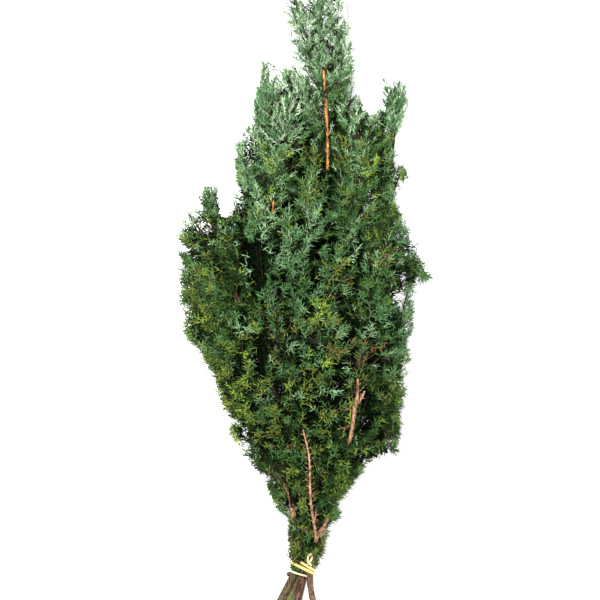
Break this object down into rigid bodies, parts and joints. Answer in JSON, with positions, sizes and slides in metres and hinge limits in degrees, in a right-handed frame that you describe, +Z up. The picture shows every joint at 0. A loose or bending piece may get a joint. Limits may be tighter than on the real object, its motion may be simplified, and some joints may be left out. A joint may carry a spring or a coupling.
{
  "type": "cut bunch of cypress branches",
  "caption": "Cut bunch of blue-green cypress branches, gathered at the stems by an elastic band and laid on its side.",
  "frame": {"origin": "centre of the bounding box's underside, on the surface the bunch lies on", "axes": "+Y from the cut ends to the tips, +X to the right seen from above, +Z up"},
  "size_m": [0.2624, 0.6742, 0.1394],
  "materials": {
    "stem_bark": "rough bark",
    "bough_bark": "thin matt bark",
    "elastic": "satin elastic",
    "foliage": "matt scale leaves"
  },
  "bodies": {
    "root": {"left_stem": "stem_bark", "front_stem": "stem_bark", "leader_stem": "stem_bark", "right_stem": "stem_bark", "shoulder_bough": "bough_bark", "front_bough": "bough_bark", "crown_bough": "bough_bark", "right_bough": "bough_bark", "under_left_bough": "bough_bark", "under_right_bough": "bough_bark", "elastic_band": "elastic", "elastic_winding": "elastic", "leader_plume": "foliage", "leader_left": "foliage", "leader_flank": "foliage", "leader_column": "foliage", "leader_side": "foliage", "arch_spray": "foliage", "shoulder_outer": "foliage", "shoulder_side": "foliage", "shoulder_inner": "foliage", "shoulder_base": "foliage", "far_left_tip": "foliage", "far_left_point": "foliage", "far_left_side": "foliage", "far_left_droop": "foliage", "left_inner": "foliage", "left_low": "foliage", "left_hanging": "foliage", "left_core": "foliage", "centre_left": "foliage", "centre_low_left": "foliage", "centre_mid": "foliage", "centre_upper": "foliage", "centre_right": "foliage", "centre_low_right": "foliage", "low_left": "foliage", "low_right": "foliage", "neck_left": "foliage", "neck_right": "foliage", "neck_back": "foliage", "neck_collar": "foliage", "right_shoot": "foliage", "right_shoot_side": "foliage", "right_mid": "foliage", "crown_top": "foliage", "crown_side": "foliage", "right_outer": "foliage", "right_droop": "foliage", "right_front": "foliage", "right_tip": "foliage", "right_low": "foliage", "right_drop": "foliage", "right_low_inner": "foliage", "right_core": "foliage", "under_left": "foliage", "under_middle": "foliage", "under_right": "foliage", "under_low_left": "foliage", "under_low_right": "foliage"}
  },
  "joints": []
}
